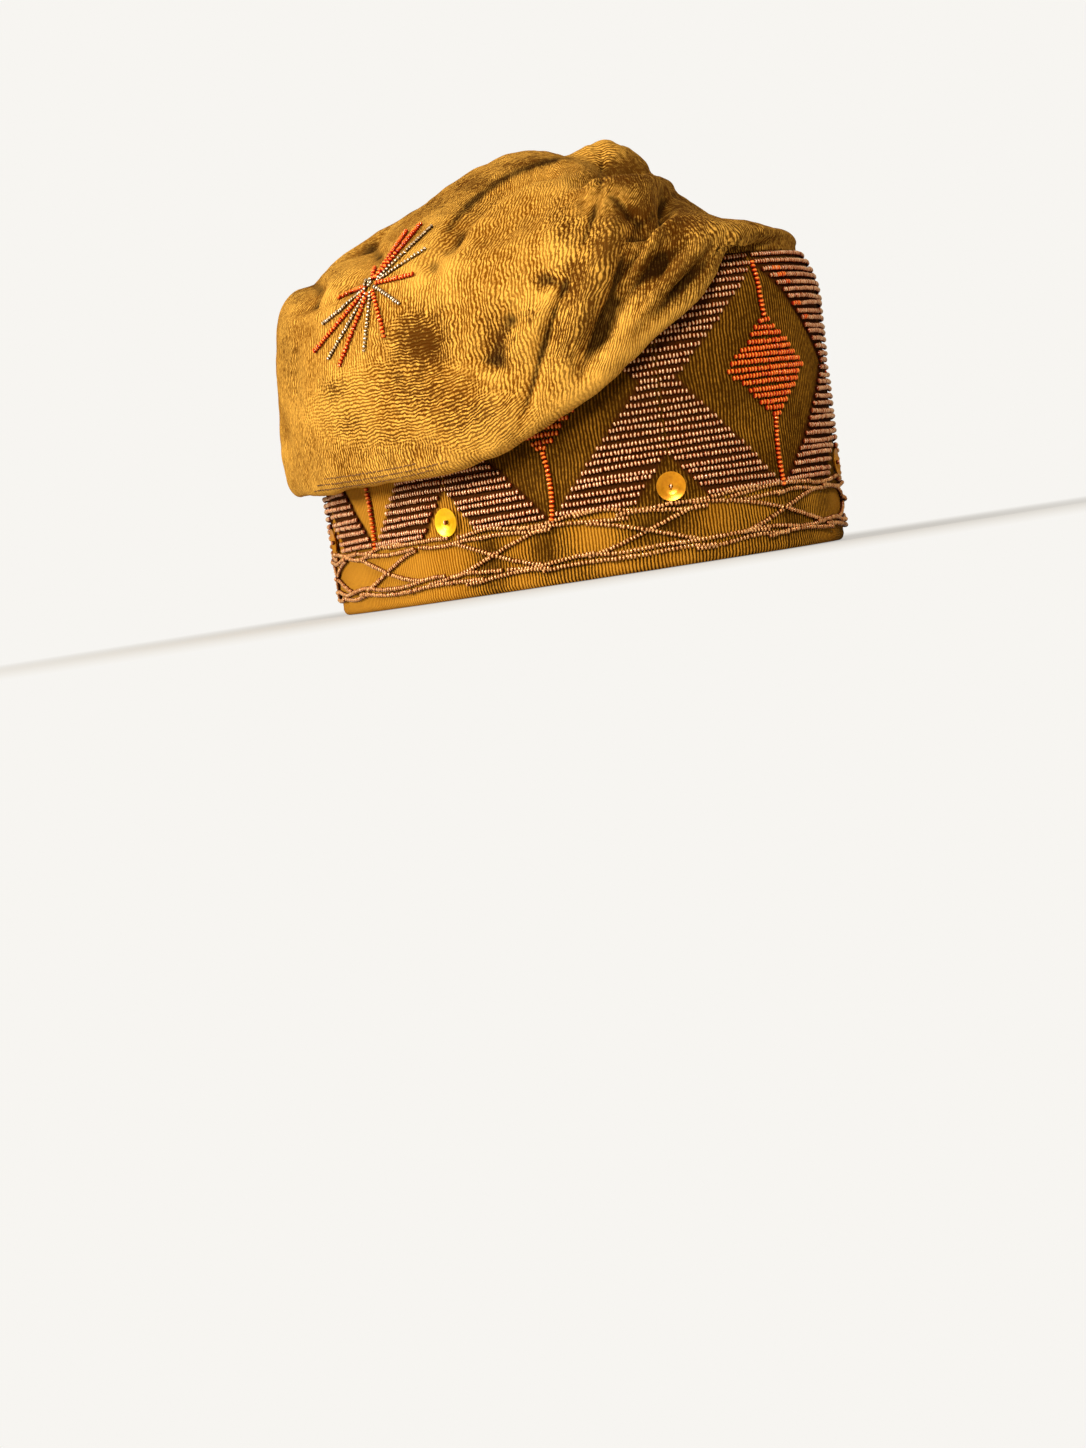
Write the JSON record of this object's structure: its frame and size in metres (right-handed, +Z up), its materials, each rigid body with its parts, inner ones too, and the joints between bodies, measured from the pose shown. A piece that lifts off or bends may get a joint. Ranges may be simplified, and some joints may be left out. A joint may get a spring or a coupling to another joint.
{
  "type": "fila cap",
  "caption": "Soft velvet cap: a stiff upright band with cupped sequins, and a folded crown bag that hangs over one side.",
  "frame": {"origin": "centre of the oval rim, in the plane that the cap rests on", "axes": "+Z up through the crown, -Y the front of the cap, -X the wearer's right, over which the crown hangs"},
  "size_m": [0.1781, 0.2286, 0.1577],
  "materials": {
    "band_velvet": "brown-gold velvet over a firm core, nap upright",
    "crown_velvet": "gold velvet, soft and brushed in patches",
    "sequin": "cupped gold sequin",
    "copper_beads": "copper-lined seed beads in couched rows",
    "orange_beads": "bright orange seed beads",
    "silver_beads": "pale silver-lined seed beads"
  },
  "bodies": {
    "root": {"band": "band_velvet", "crown": "crown_velvet", "sequin_1": "sequin", "sequin_2": "sequin", "sequin_3": "sequin", "sequin_4": "sequin", "sequin_5": "sequin", "sequin_6": "sequin", "sequin_7": "sequin"}
  },
  "joints": []
}
